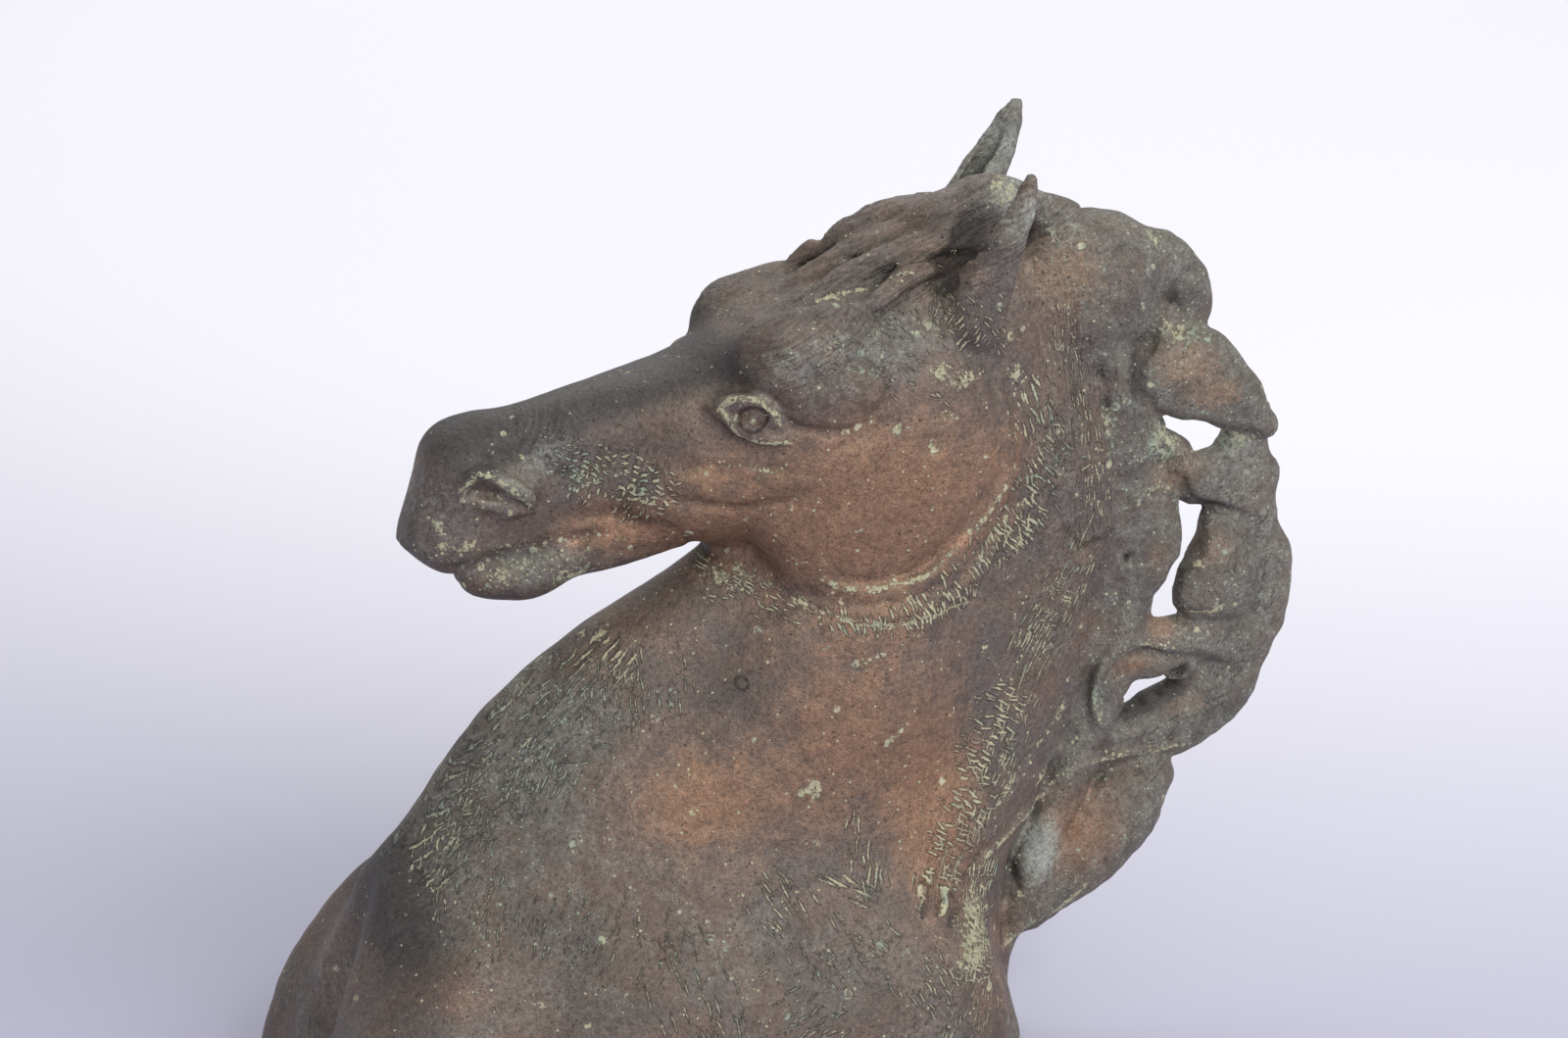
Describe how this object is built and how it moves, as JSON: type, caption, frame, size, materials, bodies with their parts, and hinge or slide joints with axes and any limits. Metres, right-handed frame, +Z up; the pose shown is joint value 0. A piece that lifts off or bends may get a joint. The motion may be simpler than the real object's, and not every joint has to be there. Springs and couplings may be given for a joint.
{
  "type": "horse bust sculpture",
  "caption": "Bust of a horse with arched neck, pricked ears, forelock and an openwork mane, cast whole and cut flat below so that it stands on its underside.",
  "frame": {"origin": "on the flat underside, in the bust's mirror plane, below the middle of the neck", "axes": "+Z up, the horse faces -X, and its left side, the one pictured, faces -Y"},
  "size_m": [0.2479, 0.1126, 0.222],
  "materials": {
    "bronze": "satin brown patina with pale green verdigris"
  },
  "bodies": {
    "root": {"horse_bust": "bronze"}
  },
  "joints": []
}
